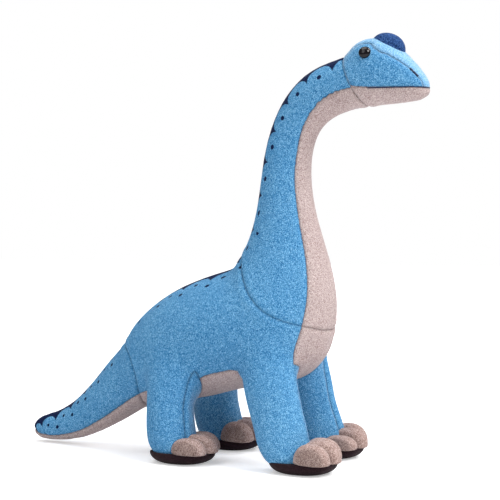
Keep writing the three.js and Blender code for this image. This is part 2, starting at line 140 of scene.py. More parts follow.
class Value:
    # a socket whose arithmetic adds Math nodes
    def __init__(self, maker, socket):
        self.maker = maker
        self.socket = socket

    def maths(self, operation, *others):
        return self.maker.node("ShaderNodeMath", {"operation": operation}, [self, *others])

    def __add__(self, other):
        return self.maths("ADD", other)

    __radd__ = __add__

    def __sub__(self, other):
        return self.maths("SUBTRACT", other)

    def __rsub__(self, other):
        return self.maker.node("ShaderNodeMath", {"operation": "SUBTRACT"}, [other, self])

    def __mul__(self, other):
        return self.maths("MULTIPLY", other)

    __rmul__ = __mul__

    def __truediv__(self, other):
        return self.maths("DIVIDE", other)

    def __rtruediv__(self, other):
        return self.maker.node("ShaderNodeMath", {"operation": "DIVIDE"}, [other, self])

    def __abs__(self):
        return self.maths("ABSOLUTE")

    def fract(self):
        return self.maths("FRACT")

    def root(self):
        return self.maths("SQRT")

    def most(self, other):
        return self.maths("MAXIMUM", other)

    def between(self, low, high):
        # 0 below low, 1 above high, smooth in between
        return self.maker.node(
            "ShaderNodeMapRange",
            {"interpolation_type": "SMOOTHSTEP", "clamp": True},
            {"Value": self, "From Min": low, "From Max": high},
        )


class Finish:
    # one material and its node tree
    def __init__(self, name):
        self.material = bpy.data.materials.new(name)
        self.material.use_nodes = True
        self.tree = self.material.node_tree
        self.surface = self.tree.nodes["Principled BSDF"]

    def put(self, socket, value):
        if isinstance(value, Value):
            self.tree.links.new(value.socket, socket)
        else:
            socket.default_value = value

    def node(self, kind, settings=None, inputs=None, output=0):
        made = self.tree.nodes.new(kind)
        for name, value in (settings or {}).items():
            setattr(made, name, value)
        named = inputs.items() if isinstance(inputs, dict) else enumerate(inputs or [])
        for name, value in named:
            self.put(made.inputs[name], value)
        return Value(self, made.outputs[output])

    def place(self):
        return self.node("ShaderNodeTexCoord", output="Object")

    def noise(self, scale, detail=2.0, roughness=0.5):
        return self.node("ShaderNodeTexNoise", None, {
            "Vector": self.place(), "Scale": scale, "Detail": detail, "Roughness": roughness,
        })

    def mix(self, factor, first, second):
        made = self.tree.nodes.new("ShaderNodeMix")
        made.data_type = "RGBA"
        for index, value in ((0, factor), (6, first), (7, second)):
            self.put(made.inputs[index], value)
        return Value(self, made.outputs[2])

    def speckle(self, factor, first, second):
        # two screen colours
        return self.mix(factor, linear(*first), linear(*second))

    def bump(self, height, distance, strength):
        return self.node("ShaderNodeBump", None, {
            "Height": height, "Distance": distance, "Strength": strength,
        })

    def set(self, **values):
        for name, value in values.items():
            self.put(self.surface.inputs[name.replace("_", " ")], value)


# plush cloth

plush = {
    "grain": 1100.0,  # tufts of the pile, per metre
    "nap": 400.0,  # brushed patches
    "cloud": 14.0,  # broad light and dark
    "grainShare": 3.2,
    "napShare": 0.7,
    "cloudShare": 0.3,
    "depth": 0.0011,
    "sheen": {"blue": 0.85, "printed": 0.08, "pale": 0.16, "navy": 0.1},
    "sheenRoughness": 0.32,
    "sheenTint": (0.8, 0.9, 1.0, 1.0),
    "gloss": 0.15,
    # painted shade in the seam grooves: how much of it, and how dark
    "seamShade": 0.4,
    "seamDark": 0.8,
}
blueTones = [(41, 102, 154), (79, 146, 196), (140, 196, 230)]
# painted highlight: the top of the head gets lighter copies of the blue tones, where the light falls
# on it
litTopTones = [(84, 140, 186), (128, 184, 226), (176, 214, 240)]  # top of the head
paleTones = [(143, 119, 115), (188, 169, 167), (220, 206, 202)]
navyTones = [(12, 24, 58), (38, 70, 122), (74, 108, 166)]
toeTones = [(120, 94, 86), (176, 150, 143), (212, 190, 182)]
printTones = [(8, 19, 50), (22, 40, 84)]


def plushColour(finish, tones, spread):
    # the pile's tufts, brushed patches and broad clouds, as three tones
    grain = finish.noise(plush["grain"], 3.0, 0.62)
    nap = finish.noise(plush["nap"], 3.0, 0.55)
    cloud = finish.noise(plush["cloud"], 2.0, 0.5)
    level = (grain - 0.5) * plush["grainShare"] + (nap - 0.5) * plush["napShare"]
    level = level * spread + (cloud - 0.5) * plush["cloudShare"] + 0.5
    dark, middle, light = (linear(*tone) for tone in tones)
    low = finish.mix(level.between(0.1, 0.5), dark, middle)
    return finish.mix(level.between(0.5, 0.95), low, light), grain, nap


def plushFinish(name, tones, sheen, printed=False, spread=1.0, seamShaded=True):
    finish = Finish(name)
    colour, grain, nap = plushColour(finish, tones, spread)
    if printed:
        mask = scallops(finish)
        dark = finish.speckle(grain.between(0.25, 0.8), *printTones)
        colour = finish.mix(mask, colour, dark)
    if seamShaded:
        # painted shade: the cloth is darkened where it dips into a seam's groove
        near = finish.node("ShaderNodeAttribute", {"attribute_name": "seam"}, output="Fac")
        shaded = finish.mix(plush["seamDark"], colour, (0, 0, 0, 1))
        colour = finish.mix(near * plush["seamShade"], colour, shaded)
    height = grain * 0.7 + nap * 0.5
    finish.set(
        Base_Color=colour,
        Roughness=(1.0 - grain * 0.12),
        Normal=finish.bump(height, plush["depth"], 0.8),
    )
    finish.set(
        Sheen_Weight=plush["sheen"][sheen],
        Sheen_Roughness=plush["sheenRoughness"],
        Sheen_Tint=plush["sheenTint"],
        Specular_IOR_Level=plush["gloss"],
        IOR=1.3,
    )
    return finish.material


arch = {  # shares of an arch's width, measured down from the ridge
    "radius": 0.52,
    "bottom": 0.83,
    "soft": 0.012,
    "dotDown": 0.7,
    "pointDown": 0.95,  # the dots below the points between arches
    "pointEnd": 13,  # arches from the tail's tip to the last of them
    "dotWide": 0.06,
    "dotLong": 0.078,
    "wobble": 0.035,
    "wobbleGrain": 260,
}


def scallops(finish):
    # a dark ridge whose edge is a row of arches that meet in points, and the dots below it
    uv = finish.node("ShaderNodeUVMap", {"uv_map": "print"})
    parts = finish.tree.nodes.new("ShaderNodeSeparateXYZ")
    finish.tree.links.new(uv.socket, parts.inputs[0])
    along = Value(finish, parts.outputs[0])
    down = Value(finish, parts.outputs[1])
    wobble = (finish.noise(arch["wobbleGrain"]) - 0.5) * arch["wobble"]
    share = along.fract() - 0.5
    edge = arch["bottom"] - (arch["radius"] ** 2 - share * share).most(0.0).root()
    ridge = 1 - (down + wobble - edge).between(-arch["soft"], arch["soft"])
    middle = dotAt(share, down - arch["dotDown"], wobble)
    lower = dotAt(0.5 - abs(share), down - arch["pointDown"], wobble)
    lower = lower * (1 - along.between(arch["pointEnd"], arch["pointEnd"] + 0.01))
    return ridge.most(middle).most(lower)


def dotAt(along, across, wobble):
    sideways = across / arch["dotWide"]
    ahead = along / arch["dotLong"]
    return 1 - (sideways * sideways + ahead * ahead + wobble * 4).between(0.85, 1.15)


# shape of the toy, drawn in mm about the middle of the stance

stations = {  # back x and z, belly x and z, half width, share of it that is pale below
    "tail": [
        (-286, 17, -285, 10, 4, 0.72),
        (-281, 24, -278, 4.5, 9.5, 0.72),
        (-270, 30, -266, 2.4, 13, 0.72),
        (-248, 37, -243, 3, 16, 0.72),
        (-226, 50, -214, 9, 19.5, 0.72),
        (-204, 70, -188, 20, 24, 0.72),
        (-184, 92, -163, 33, 28.5, 0.72),
        (-162, 114, -138, 47, 33.5, 0.72),
    ],
    "body": [
        (-147, 135, -116, 54, 43, 0.7),
        (-123, 155.5, -98, 56, 52, 0.7),
        (-99, 169.5, -84, 57, 57.5, 0.72),
        (-74, 179.5, -62, 61, 60.5, 0.74),
        (-53, 186, -33, 69, 61, 0.74),
        (-40, 189.5, 5, 76, 60.5, 0.74),
        (-35, 190, 38, 86, 59.5, 0.6),
        (-33, 191, 60, 104, 58, 0.66),
    ],
    "neck": [
        (-32, 192, 68, 130, 56, 0.65),
        (-25, 205, 71, 158, 48, 0.66),
        (-17.5, 221, 67, 188, 40, 0.66),
        (-12, 240, 58.5, 218, 33, 0.66),
        (-8, 262, 50, 248, 28, 0.66),
        (-5, 285, 45.5, 279, 25.5, 0.66),
        (-1.5, 307, 47, 305, 23.5, 0.66),
        (5, 330, 53, 322, 23, 0.72),
        (14, 350, 61, 332, 23, 0.79),
        (27, 368, 70, 338, 23.5, 0.85),
        (44, 382, 80, 342, 24, 0.9),
        (64, 391, 93, 345.5, 24.5, 0.93),
    ],
    "head": [
        (85, 397, 108, 347.5, 25.5, 0.94),
        (97, 409.5, 119, 348, 27, 0.94),
        (112, 414, 130, 348.5, 27, 0.94),
        (128, 412, 141, 349, 24.5, 0.94),
        (142, 402, 151, 350, 21.5, 0.94),
        (153, 391, 159, 351, 18.5, 0.94),
        (162, 380, 165, 352.5, 15.5, 0.94),
        (168, 372, 169, 355, 11, 0.94),
        (171, 366, 171, 360, 5, 0.94),
    ],
}
legRows = {  # height: middle x, middle y, half length, half width
    "front": [
        (130, 12, 34, 27, 20), (108, 18, 38, 27.5, 22), (80, 25, 44, 27.5, 24),
        (59, 31, 46, 26.5, 24.5), (40, 38, 48, 26, 25), (22, 43, 50, 25.5, 25.5),
        (10, 50, 50, 24.5, 25), (6, 54, 50, 21, 22),
    ],
    "hind": [
        (130, -86, 34, 33, 18), (108, -86, 37, 31, 20), (78, -85, 43, 27, 23.5),
        (55, -86, 46, 23.8, 24), (35, -84, 48, 25, 25), (20, -81, 50, 25.5, 25.5),
        (10, -76, 50, 24.5, 25), (6, -72, 50, 21, 22),
    ],
}
legs = {
    "front_left": {"rows": "front", "side": 1, "drift": -8},
    "front_right": {"rows": "front", "side": -1, "drift": 0},
    "hind_left": {"rows": "hind", "side": 1, "drift": 0},
    "hind_right": {"rows": "hind", "side": -1, "drift": 0},
}
driftShare = np.array([(0, 0.75), (15, 0.85), (50, 0.95), (85, 0.5), (108, 0)], float)  # by height
hullGrid = {
    "perStation": 10,  # steps from one station to the next
    "trunkPoints": 72,  # in a ring
    "legPoints": 40,
    "legRings": 41,
    "legSpan": (6, 126),  # mm, lowest and highest ring
    "voxel": 0.004,
}


def through(points, per):
    # a Catmull-Rom curve through rows of numbers
    points = np.asarray(points, float)
    padded = np.vstack([2 * points[0] - points[1], points, 2 * points[-1] - points[-2]])
    rows = []
    for i in range(len(points) - 1):
        a, b, c, d = padded[i:i + 4]
        for t in np.arange(per) / per:
            rows.append(0.5 * (2 * b + (c - a) * t + (2 * a - 5 * b + 4 * c - d) * t ** 2
                               + (3 * b - a - 3 * c + d) * t ** 3))
    return np.array(rows + [points[-1]])


spine = through([row for part in stations.values() for row in part], hullGrid["perStation"])
spineMiddle = (spine[:, 0:2] + spine[:, 2:4]) / 2
spineUp = (spine[:, 0:2] - spine[:, 2:4]) / 2
spineReach = np.linalg.norm(spineUp, axis=1)
spineUp = spineUp / spineReach[:, None]
spineHalf = spine[:, 4]
spinePale = spine[:, 5]
backLine = spine[:, 0:2]
backLength = np.concatenate([[0], np.cumsum(np.linalg.norm(np.diff(backLine, axis=0), axis=1))])


def ringFaces(rings):
    # bands of faces between rings of points
    count = len(rings[0])
    faces = []
    for i in range(len(rings) - 1):
        for j in range(count):
            k = (j + 1) % count
            faces.append((i * count + j, i * count + k, (i + 1) * count + k, (i + 1) * count + j))
    return faces


def gridMesh(name, rings):
    # closed mesh over rings of drawn points, with both ends shut
    count = len(rings[0])
    points = [tuple(onFrame(*p)) for ring in rings for p in ring]
    faces = ringFaces(rings)
    faces.append(tuple(range(count))[::-1])
    faces.append(tuple((len(rings) - 1) * count + j for j in range(count)))
    return addMesh(name, points, faces, smooth=False)


def legAt(leg, z):
    rows = np.array(legRows[leg["rows"]], float)[::-1]
    x, y, long, wide = (np.interp(z, rows[:, 0], rows[:, i]) for i in range(1, 5))
    x = x + leg["drift"] * readOff(driftShare, z)
    return x, leg["side"] * y, long, wide


def makeHull():
    rings = []
    for i in range(0, len(spine), 2):
        middle, up, reach, half = spineMiddle[i], spineUp[i], spineReach[i], spineHalf[i]
        rings.append([(middle[0] + up[0] * reach * math.sin(t), half * math.cos(t),
                       middle[1] + up[1] * reach * math.sin(t))
                      for t in fullTurn(hullGrid["trunkPoints"])])
    parts = [gridMesh("hull", rings)]
    for leg in legs.values():
        rings = []
        for z in np.linspace(*hullGrid["legSpan"], hullGrid["legRings"]):
            x, y, long, wide = legAt(leg, z)
            rings.append([(x + long * math.cos(t), y + wide * math.sin(t), z)
                          for t in fullTurn(hullGrid["legPoints"])])
        parts.append(gridMesh("leg", rings))
    bpy.ops.object.select_all(action="DESELECT")
    for part in parts:
        part.select_set(True)
    bpy.context.view_layer.objects.active = parts[0]
    bpy.ops.object.join()
    return parts[0]


def settled(made, modifier):
    # keeps a modifier's result as the mesh
    graph = bpy.context.evaluated_depsgraph_get()
    mesh = bpy.data.meshes.new_from_object(made.evaluated_get(graph))
    made.modifiers.remove(modifier)
    made.data = mesh
    return made


def applied(made, kind, **settings):
    # adds a modifier, and applies it
    modifier = made.modifiers.new(kind.lower(), kind)
    for name, value in settings.items():
        setattr(modifier, name, value)
    return settled(made, modifier)


def pointsOf(mesh):
    flat = np.empty(len(mesh.vertices) * 3)
    mesh.vertices.foreach_get("co", flat)
    return flat.reshape(-1, 3)


def moveTo(made, places):
    made.data.vertices.foreach_set("co", places.ravel())
    made.data.update()


def edgesOf(mesh):
    flat = np.empty(len(mesh.edges) * 2, int)
    mesh.edges.foreach_get("vertices", flat)
    return flat.reshape(-1, 2)


def relax(points, edges, weight, rounds):
    # draws each point towards the mean of its neighbours
    for _ in range(rounds):
        total = np.zeros_like(points)
        count = np.zeros(len(points))
        for a, b in ((0, 1), (1, 0)):
            np.add.at(total, edges[:, a], points[edges[:, b]])
            np.add.at(count, edges[:, a], 1)
        points = points + (total / np.maximum(count, 1)[:, None] - points) * weight[:, None]
    return points


batch = 8000  # points worked on together


def spineFields(points):
    # where each point lies along the trunk, and how far from its middle, in mm
    x = points[:, 0] / mm - standShift
    y = points[:, 1] / mm
    z = points[:, 2] / mm
    normal = np.stack([spineUp[:, 1], -spineUp[:, 0]], axis=1)
    row = np.zeros(len(points))
    for start in range(0, len(points), batch):
        part = slice(start, start + batch)
        flat = np.stack([x[part], z[part]], axis=1)
        ahead = (flat @ normal.T) - (spineMiddle * normal).sum(axis=1)[None, :]
        away = np.linalg.norm(flat[:, None, :] - spineMiddle[None, :, :], axis=2)
        crossing = (ahead[:, :-1] >= 0) & (ahead[:, 1:] < 0)
        cost = np.where(crossing, away[:, :-1], 1e6 + away[:, :-1])
        best = cost.argmin(axis=1)
        each = np.arange(len(flat))
        first, second = ahead[each, best], ahead[each, best + 1]
        inside = crossing[each, best]
        row[part] = best + np.where(inside, first / np.where(inside, first - second, 1), 0.5)
    steps = np.arange(len(spine))
    middle = np.stack([np.interp(row, steps, spineMiddle[:, i]) for i in (0, 1)], axis=1)
    up = np.stack([np.interp(row, steps, spineUp[:, i]) for i in (0, 1)], axis=1)
    reach = np.interp(row, steps, spineReach)
    half = np.interp(row, steps, spineHalf)
    high = ((np.stack([x, z], axis=1) - middle) * up).sum(axis=1)
    around = (np.sqrt((high / reach) ** 2 + (y / half) ** 2) - 1) * np.minimum(reach, half)
    return x, y, z, row, high, half, around


def legDistance(leg, x, y, z):
    # rough distance to a leg's cloth, in mm, from its share of the leg's half width
    middleX, middleY, long, wide = legAt(leg, z)
    return (np.sqrt(((x - middleX) / long) ** 2 + ((y - middleY) / wide) ** 2) - 1) * 25


hull = makeHull()
hull = applied(hull, "REMESH", mode="VOXEL", voxel_size=hullGrid["voxel"], use_smooth_shade=True)
print("hull:", len(hull.data.vertices), "points")


# cloth: the hull swells between its seams

swell = {
    "pressure": 4.0,
    "frames": 20,
    "mostMove": 5.0,  # mm
    "seamHold": 9.0,  # mm either side of a seam that stay nearly still
    "crease": 16.0,  # mm about the place where a leg meets the belly
    "soleTop": 9.0,  # mm from the floor, below which the hull is hardly smoothed
    "heldTop": 12.0,  # mm from the floor, below which the cloth is held
    "settings": {
        "quality": 5,
        "mass": 0.2,
        "tension_stiffness": 30,
        "compression_stiffness": 30,
        "shear_stiffness": 10,
        "bending_stiffness": 2,
        "pin_stiffness": 1,
    },
}
smoothing = {  # share of the way to its neighbours that a point moves in a round
    "trunk": 0.25,
    "crease": 0.6,  # more where a leg meets the trunk
    "sole": 0.1,
    "rounds": 14,
    "last": 0.5,
    "lastRounds": 2,
}
# a point on each of the three seams across the toy, and the way it faces
tailRing = (-150, 80.5, -0.941, -0.337)
neckRing = (21.5, 161, 0.633, 0.774)
headRing = (96.5, 372, 0.907, 0.421)
tailSag = {"half": 40, "depth": 18.5}  # how the seams bow on either side of the middle, mm
neckSag = {"half": 55, "depth": 13, "lift": 7}
innerLeg = {
    "twist": {"front": -6, "hind": 11},  # mm from a leg's middle to the seam in front of it
    "top": 97,  # mm from the floor
    "reach": 5,  # mm outside the leg where the panel may still be
    "slope": 0.8,
}
nowhere = 1e3  # mm, farther than any seam
# by place along the head: the height of the seam over the chin, and half the width of the top panel
chinLine = np.array([(80, 369), (92, 368), (104, 365.5), (118, 364), (150, 363.5),
                     (180, 363)], float)
gussetEdge = np.array([(90, 0.45), (106, 0.5), (116, 0.58), (122, 0.74), (128, 0.82), (142, 0.8),
                       (156, 0.72), (164, 0.67), (175, 0.66)], float)


def past(ring, x, z):
    return (x - ring[0]) * ring[2] + (z - ring[1]) * ring[3]


def aboveLeg(z, away):
    # how far above the slanted top of the inner leg panels
    return z - innerLeg["top"] + innerLeg["slope"] * (away - innerLeg["reach"])


def seamFields(points):
    # signed distances, in mm, whose zero lines are the seams
    x, y, z, row, high, half, _ = spineFields(points)
    pale = np.interp(row, np.arange(len(spine)), spinePale)
    fields = {"y": y}
    sag = tailSag["depth"] * np.minimum((y / tailSag["half"]) ** 2, 1)
    fields["tail"] = past(tailRing, x, z) + sag
    sag = neckSag["depth"] * (np.abs(y) / neckSag["half"]) ** 3 - neckSag["lift"]
    fields["neck"] = past(neckRing, x, z) + sag
    fields["head"] = past(headRing, x, z)
    fields["pale"] = np.minimum(pale * half - np.abs(y), -high)
    fields["chin"] = readOff(chinLine, x) - z
    fields["gusset"] = np.minimum(readOff(gussetEdge, x) * half - np.abs(y), high)
    nearLeg = np.full(len(x), nowhere)
    for name, leg in legs.items():
        away = legDistance(leg, x, y, z)
        middleX, middleY, long, _ = legAt(leg, z)
        twist = innerLeg["twist"][leg["rows"]] * np.clip((x - middleX) / long, -1, 1)
        within = np.minimum(innerLeg["reach"] - away, leg["side"] * (middleY - y) + twist)
        fields["inner_" + name] = np.minimum(within, -aboveLeg(z, away))
        nearLeg = np.minimum(nearLeg, np.where(leg["side"] * y > 0, away, nowhere))
    outside = np.maximum(nearLeg - innerLeg["reach"], aboveLeg(z, nearLeg))
    fields["belly"] = np.minimum(fields["pale"], outside)
    return fields


def seamNearness(fields):
    # rough distance to the closest seam, in mm
    head = fields["head"] > 0
    near = np.full(len(head), nowhere)
    for name, where in (("head", True), ("neck", True), ("tail", True), ("pale", ~head),
                        ("y", (fields["pale"] < 0) & ~head), ("chin", head), ("gusset", head)):
        near = np.where(where, np.minimum(near, np.abs(fields[name])), near)
    return near


points = pointsOf(hull.data)
edges = edgesOf(hull.data)
fields = spineFields(points)
legNear = np.full(len(points), nowhere)
for leg in legs.values():
    legNear = np.minimum(legNear, np.abs(legDistance(leg, *fields[:3])))
weight = bell(np.abs(fields[-1]) + legNear, swell["crease"])
weight = smoothing["trunk"] + smoothing["crease"] * weight
onSole = fields[2] < swell["soleTop"]
points = relax(points, edges, np.where(onSole, smoothing["sole"], weight), smoothing["rounds"])
points = relax(points, edges, np.full(len(points), smoothing["last"]), smoothing["lastRounds"])
moveTo(hull, points)


def swellCloth(made):
    # pressure inside the closed cloth, with its seams held
    start = pointsOf(made.data)
    near = seamNearness(seamFields(start))
    hold = made.vertex_groups.new(name="seams")
    grip = bell(near, swell["seamHold"])
    grip = np.maximum(grip, (start[:, 2] < swell["heldTop"] * mm).astype(float))
    for level in np.unique(np.round(grip, 1)):
        chosen = np.nonzero(np.round(grip, 1) == level)[0].tolist()
        if level > 0:
            hold.add(chosen, float(level), "REPLACE")
    cloth = made.modifiers.new("cloth", "CLOTH")
    for name, value in swell["settings"].items():
        setattr(cloth.settings, name, value)
    cloth.settings.use_pressure = True
    cloth.settings.uniform_pressure_force = swell["pressure"]
    cloth.settings.vertex_group_mass = "seams"
    cloth.settings.effector_weights.gravity = 0
    cloth.collision_settings.use_collision = False
    cloth.point_cache.frame_start = 1
    cloth.point_cache.frame_end = swell["frames"]
    for step in range(1, swell["frames"] + 1):
        bpy.context.scene.frame_set(step)
    graph = bpy.context.evaluated_depsgraph_get()
    mesh = made.evaluated_get(graph).to_mesh()
    moved = pointsOf(mesh) - start
    made.evaluated_get(graph).to_mesh_clear()
    made.modifiers.remove(cloth)
    made.vertex_groups.remove(hold)
    bpy.context.scene.frame_set(1)
    length = np.linalg.norm(moved, axis=1)
    limit = swell["mostMove"] * mm
    print("cloth swelled: %.1f mm on the whole, %.1f mm at most, before its limit"
          % (np.median(length) / mm, length.max() / mm))
    moved *= (limit * np.tanh(length / limit) / np.maximum(length, 1e-9))[:, None]
    moveTo(made, start + moved)


swellCloth(hull)
hull = applied(hull, "SUBSURF", levels=1, render_levels=1)
print("smooth hull:", len(hull.data.vertices), "points")


# cutting the hull into its panels

def trianglesOf(mesh):
    mesh.calc_loop_triangles()
    flat = np.empty(len(mesh.loop_triangles) * 3, int)
    mesh.loop_triangles.foreach_get("vertices", flat)
    return flat.reshape(-1, 3)


def sidesOf(triangles):
    return np.concatenate([triangles[:, [0, 1]], triangles[:, [1, 2]], triangles[:, [2, 0]]])


def cutAlong(table, triangles, column, snap):
    # splits each triangle that the zero line of a column crosses
    field = table[:, column]
    field[np.abs(field) < snap] = 0
    sign = np.sign(field)[triangles]
    crossed = (sign.min(axis=1) < 0) & (sign.max(axis=1) > 0)
    kept = [triangles[~crossed]]
    work = triangles[crossed]
    pairs = sidesOf(work)
    split = field[pairs[:, 0]] * field[pairs[:, 1]] < 0
    ends = np.sort(pairs[split], axis=1)
    unique, index = np.unique(ends, axis=0, return_inverse=True)
    a, b = unique[:, 0], unique[:, 1]
    share = (field[a] / (field[a] - field[b]))[:, None]
    added = table[a] * (1 - share) + table[b] * share
    added[:, column] = 0
    middle = np.full(len(pairs), -1)
    middle[split] = len(table) + index.ravel()
    middle = middle.reshape(3, -1).T  # new point on each side of a triangle
    for turn in range(3):
        i, j, k = turn, (turn + 1) % 3, (turn + 2) % 3
        # two sides split, with point i alone
        both = (middle[:, i] >= 0) & (middle[:, k] >= 0)
        p, q = middle[both, i], middle[both, k]
        kept.append(np.stack([work[both, i], p, q], axis=1))
        kept.append(np.stack([p, work[both, j], work[both, k]], axis=1))
        kept.append(np.stack([p, work[both, k], q], axis=1))
        # one side split, with point k on the line
        one = (middle[:, i] >= 0) & (middle[:, j] < 0) & (middle[:, k] < 0)
        p = middle[one, i]
        kept.append(np.stack([work[one, i], p, work[one, k]], axis=1))
        kept.append(np.stack([p, work[one, j], work[one, k]], axis=1))
    return np.vstack([table, added]), np.concatenate(kept)


def panelNames(f):
    # the panel that each triangle belongs to, from the fields at its middle
    side = np.where(f["y"] > 0, "left", "right")
    name = np.char.add("body_side_", side)
    name = np.where(f["belly"] > 0, "belly_gusset", name)
    for leg in legs:
        name = np.where(f["inner_" + leg] > 0, "inner_leg_" + leg, name)
    for part, lower in (("tail", "tail_underside"), ("neck", "neck_front")):
        inPart = np.where(f["pale"] > 0, lower, np.char.add(part + "_side_", side))
        name = np.where(f[part] > 0, inPart, name)
    upper = np.where(f["gusset"] > 0, "head_top", np.char.add("head_side_", side))
    return np.where(f["head"] > 0, np.where(f["chin"] > 0, "chin", upper), name)


points = pointsOf(hull.data)
triangles = trianglesOf(hull.data)
fields = seamFields(points)
names = list(fields)
table = np.column_stack([points] + [fields[name] for name in names])
columns = {name: 3 + i for i, name in enumerate(names)}
cuts = ["head", "neck", "tail", "chin", "gusset", "pale", "belly", "y"]
cuts += ["inner_" + leg for leg in legs]
snap = 0.25  # mm from a line that count as on it
for cut in cuts:
    table, triangles = cutAlong(table, triangles, columns[cut], snap)
middle = table[triangles].mean(axis=1)
label = panelNames({name: middle[:, columns[name]] for name in names})
print("cut into", len(set(label)), "panels,", len(triangles), "triangles")


# seams pressed in, panels puffed beside them

seam = {  # mm
    "depth": 1.1,
    "width": 1.3,
    "puff": 0.5,
    "puffAt": 5.5,
    "puffWidth": 3.0,
    "cloth": 2.0,  # thickness of a panel
    "shadeWidth": 0.9,
}


def normalsOf(points, triangles):
    a, b, c = (points[triangles[:, i]] for i in range(3))
    face = np.cross(b - a, c - a)
    total = np.zeros_like(points)
    for i in range(3):
        np.add.at(total, triangles[:, i], face)
    return total / np.maximum(np.linalg.norm(total, axis=1), 1e-12)[:, None]


def borderEdges(triangles, label):
    # sides shared by triangles of two panels
    sides = np.sort(sidesOf(triangles), axis=1)
    owner = np.concatenate([label] * 3)
    order = np.lexsort((sides[:, 1], sides[:, 0]))
    sides, owner = sides[order], owner[order]
    same = (sides[1:] == sides[:-1]).all(axis=1) & (owner[1:] != owner[:-1])
    return sides[:-1][same]


flatTriangles = (triangles[:, 0] != triangles[:, 1]) & (triangles[:, 1] != triangles[:, 2])
triangles, label = triangles[flatTriangles], label[flatTriangles]
used, index = np.unique(triangles, return_inverse=True)
table, triangles = table[used], index.reshape(-1, 3)
points = table[:, :3].copy()
borders = borderEdges(triangles, label)
seamPoints = np.concatenate([points[borders[:, 0]], points[borders[:, 1]],
                             (points[borders[:, 0]] + points[borders[:, 1]]) / 2])
tree = KDTree(len(seamPoints))
for i, place in enumerate(seamPoints):
    tree.insert(place, i)
tree.balance()
seamAway = np.array([tree.find(place)[2] for place in points]) / mm
outward = normalsOf(points, triangles)
push = -seam["depth"] * bell(seamAway, seam["width"])
push += seam["puff"] * bell(seamAway - seam["puffAt"], seam["puffWidth"])
points = points + outward * (push * mm)[:, None]
outward = normalsOf(points, triangles)


# print along the ridge of the back, in arches: mm from the tail's tip, and a size there
archSizes = np.array([(0, 20), (60, 22), (140, 28), (230, 33), (700, 34)], float)
ridgeWide = np.array([(0, 0.3), (90, 0), (215, 0), (245, 0.2), (325, 0.2), (370, 0.05)], float)
steps = np.linspace(0, backLength[-1], 1500)
archCount = np.concatenate([[0], np.cumsum(np.diff(steps) / readOff(archSizes, steps[1:]))])


def printPlace(points):
    # arches along the back, and arch widths down from it
    flat = np.stack([points[:, 0] / mm - standShift, points[:, 2] / mm], axis=1)
    row = np.zeros(len(flat))
    away = np.zeros(len(flat))
    first = backLine[:-1]
    edge = backLine[1:] - first
    size = (edge ** 2).sum(axis=1)
    size[size == 0] = 1
    for start in range(0, len(flat), batch):
        part = flat[start:start + batch]
        share = ((part[:, None, :] - first[None]) * edge[None]).sum(axis=2) / size
        share = np.clip(share, 0, 1)
        nearest = first[None] + share[:, :, None] * edge[None]
        gap = np.linalg.norm(part[:, None, :] - nearest, axis=2)
        best = gap.argmin(axis=1)
        each = np.arange(len(part))
        row[start:start + batch] = backLength[best] + share[each, best] * np.sqrt(size[best])
        away[start:start + batch] = gap[each, best]
    down = np.sqrt(away ** 2 + (points[:, 1] / mm) ** 2)
    down = down / readOff(archSizes, row) - readOff(ridgeWide, row)
    return np.interp(row, steps, archCount), down


def makePanel(name, part):
    # one panel as closed cloth: outside, inside and the turned rim
    chosen, index = np.unique(part, return_inverse=True)
    faces = index.reshape(-1, 3)
    outer = points[chosen]
    sides = sidesOf(faces)
    keys = np.sort(sides, axis=1)
    _, first, count = np.unique(keys, axis=0, return_index=True, return_counts=True)
    rim = sides[first[count == 1]]
    inner = outer - outward[chosen] * seam["cloth"] * mm
    size = len(outer)
    rimFaces = np.concatenate([
        np.stack([rim[:, 1], rim[:, 0], rim[:, 0] + size], axis=1),
        np.stack([rim[:, 1], rim[:, 0] + size, rim[:, 1] + size], axis=1),
    ])
    allPoints = np.vstack([outer, inner])
    allFaces = np.vstack([faces, faces[:, ::-1] + size, rimFaces])
    made = addMesh(name, allPoints.tolist(), allFaces.tolist())
    mesh = made.data
    along, down = printPlace(outer)
    uv = mesh.uv_layers.new(name="print")
    corner = np.empty(len(mesh.loops), int)
    mesh.loops.foreach_get("vertex_index", corner)
    values = np.stack([np.tile(along, 2), np.tile(down, 2)], axis=1)[corner]
    uv.data.foreach_set("uv", values.ravel())
    # painted shade near the seams, kept for the plush finishes to darken by
    shade = mesh.attributes.new("seam", "FLOAT", "POINT")
    shade.data.foreach_set("value", np.tile(bell(seamAway[chosen], seam["shadeWidth"]), 2))
    mesh.update()
    return made


blue = plushFinish("bluePlush", blueTones, "blue")
# the head top's finish, with a painted highlight in its lighter tones
litTopBlue = plushFinish("bluePlushLitTop", litTopTones, "blue")
bluePrinted = plushFinish("bluePlushPrinted", blueTones, "printed", printed=True)
pale = plushFinish("palePlush", paleTones, "pale", spread=0.85)
navy = plushFinish("navyPlush", navyTones, "navy", seamShaded=False)
toeCloth = plushFinish("toePlush", toeTones, "pale", spread=0.85)

bends = {  # where the cloth and its filling would bend: from a point, one way, over a length in mm; nothing here bends them
    "neck": {"from": "trunk", "at": (18, 161), "way": (0.527, 0.85), "over": 105},
    "tail": {"from": "trunk", "at": (-150, 80.5), "way": (-0.941, -0.337), "over": 65},
    "head": {"from": "neck", "at": (96.5, 372), "way": (0.907, 0.421), "over": 25},
}


def bodyOf(name):
    for body, members in frame["record"]["behaviour"]["bodies"].items():
        if name in members:
            return body
    return "trunk"


def attach(piece, node, material=None):
    # gives a piece its material and its body, but for a body in bends only bakes its place in; and
    # hides the CAD node that it stands for
    if material:
        piece.data.materials.append(material)
    body = bodyOf(node)
    if body in bends:
        bend = bends[body]
        x, z = bend["at"]
        start = onFrame(x, 0, z)
        end = onFrame(x + bend["way"][0] * bend["over"], 0, z + bend["way"][1] * bend["over"])
        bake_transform(piece)
    else:
        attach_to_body(piece, body)
    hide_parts(node)


